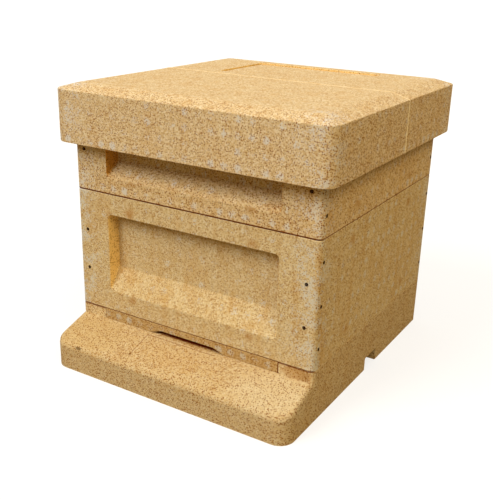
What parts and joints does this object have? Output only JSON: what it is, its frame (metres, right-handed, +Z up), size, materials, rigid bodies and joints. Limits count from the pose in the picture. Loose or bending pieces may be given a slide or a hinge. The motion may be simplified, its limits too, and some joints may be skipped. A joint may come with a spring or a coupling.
{
  "type": "polystyrene beehive",
  "caption": "Moulded foam beehive: sloping landing floor, finger-jointed brood box and super with hanging frames, queen excluder, crown board and telescoping roof.",
  "frame": {"origin": "centre of the whole hive's bounding box in plan, on the ground the floor stands on", "axes": "+Z up through the stack; the entrance and the landing board face -Y; the frames hang along Y; +X is to the right of someone facing the entrance"},
  "size_m": [0.541, 0.6054, 0.5144],
  "materials": {
    "ochre_polystyrene": "matte fused foam beads under yellow-ochre stain",
    "pale_polystyrene": "matte fused foam beads under a thin, worn stain",
    "pine": "planed, unfinished",
    "beeswax": "satin wax",
    "zinc_sheet": "zinc-coated sheet",
    "steel_mesh": "woven wire mesh",
    "plywood": "sanded plywood",
    "white_plastic": "satin sheet"
  },
  "bodies": {
    "floor": {"floor_base": "ochre_polystyrene", "floor_mesh": "steel_mesh"},
    "entrance_block": {"entrance_block": "pale_polystyrene"},
    "inspection_tray": {"inspection_tray": "white_plastic"},
    "brood_box": {"brood_front_wall": "ochre_polystyrene", "brood_back_wall": "ochre_polystyrene", "brood_left_wall": "ochre_polystyrene", "brood_right_wall": "ochre_polystyrene", "brood_front_runner": "zinc_sheet", "brood_back_runner": "zinc_sheet", "brood_frame_01": "pine", "brood_frame_02": "pine", "brood_frame_03": "pine", "brood_frame_04": "pine", "brood_frame_05": "pine", "brood_frame_06": "pine", "brood_frame_07": "pine", "brood_frame_08": "pine", "brood_frame_09": "pine", "brood_frame_10": "pine", "brood_frame_11": "pine", "brood_foundation_01": "beeswax", "brood_foundation_02": "beeswax", "brood_foundation_03": "beeswax", "brood_foundation_04": "beeswax", "brood_foundation_05": "beeswax", "brood_foundation_06": "beeswax", "brood_foundation_07": "beeswax", "brood_foundation_08": "beeswax", "brood_foundation_09": "beeswax", "brood_foundation_10": "beeswax", "brood_foundation_11": "beeswax"},
    "queen_excluder": {"queen_excluder": "zinc_sheet"},
    "super_box": {"super_front_wall": "ochre_polystyrene", "super_back_wall": "ochre_polystyrene", "super_left_wall": "ochre_polystyrene", "super_right_wall": "ochre_polystyrene", "super_front_castellation": "zinc_sheet", "super_back_castellation": "zinc_sheet", "super_frame_01": "pine", "super_frame_02": "pine", "super_frame_03": "pine", "super_frame_04": "pine", "super_frame_05": "pine", "super_frame_06": "pine", "super_frame_07": "pine", "super_frame_08": "pine", "super_frame_09": "pine", "super_foundation_01": "beeswax", "super_foundation_02": "beeswax", "super_foundation_03": "beeswax", "super_foundation_04": "beeswax", "super_foundation_05": "beeswax", "super_foundation_06": "beeswax", "super_foundation_07": "beeswax", "super_foundation_08": "beeswax", "super_foundation_09": "beeswax"},
    "crown_board": {"crown_board": "plywood", "crown_board_rim": "pine"},
    "roof": {"roof": "ochre_polystyrene"}
  },
  "joints": [
    {"name": "entrance_block_slide", "type": "slide", "parent": "floor", "child": "entrance_block", "axis": [0, -1, 0], "range_m": [0, 0.08]},
    {"name": "inspection_tray_slide", "type": "slide", "parent": "floor", "child": "inspection_tray", "axis": [0, 1, 0], "range_m": [0, 0.36]},
    {"name": "brood_box_lift", "type": "slide", "parent": "floor", "child": "brood_box", "axis": [0, 0, 1], "range_m": [0, 0.3]},
    {"name": "queen_excluder_lift", "type": "slide", "parent": "brood_box", "child": "queen_excluder", "axis": [0, 0, 1], "range_m": [0, 0.2]},
    {"name": "super_box_lift", "type": "slide", "parent": "queen_excluder", "child": "super_box", "axis": [0, 0, 1], "range_m": [0, 0.3]},
    {"name": "crown_board_lift", "type": "slide", "parent": "super_box", "child": "crown_board", "axis": [0, 0, 1], "range_m": [0, 0.2]},
    {"name": "roof_lift", "type": "slide", "parent": "crown_board", "child": "roof", "axis": [0, 0, 1], "range_m": [0, 0.3]}
  ]
}
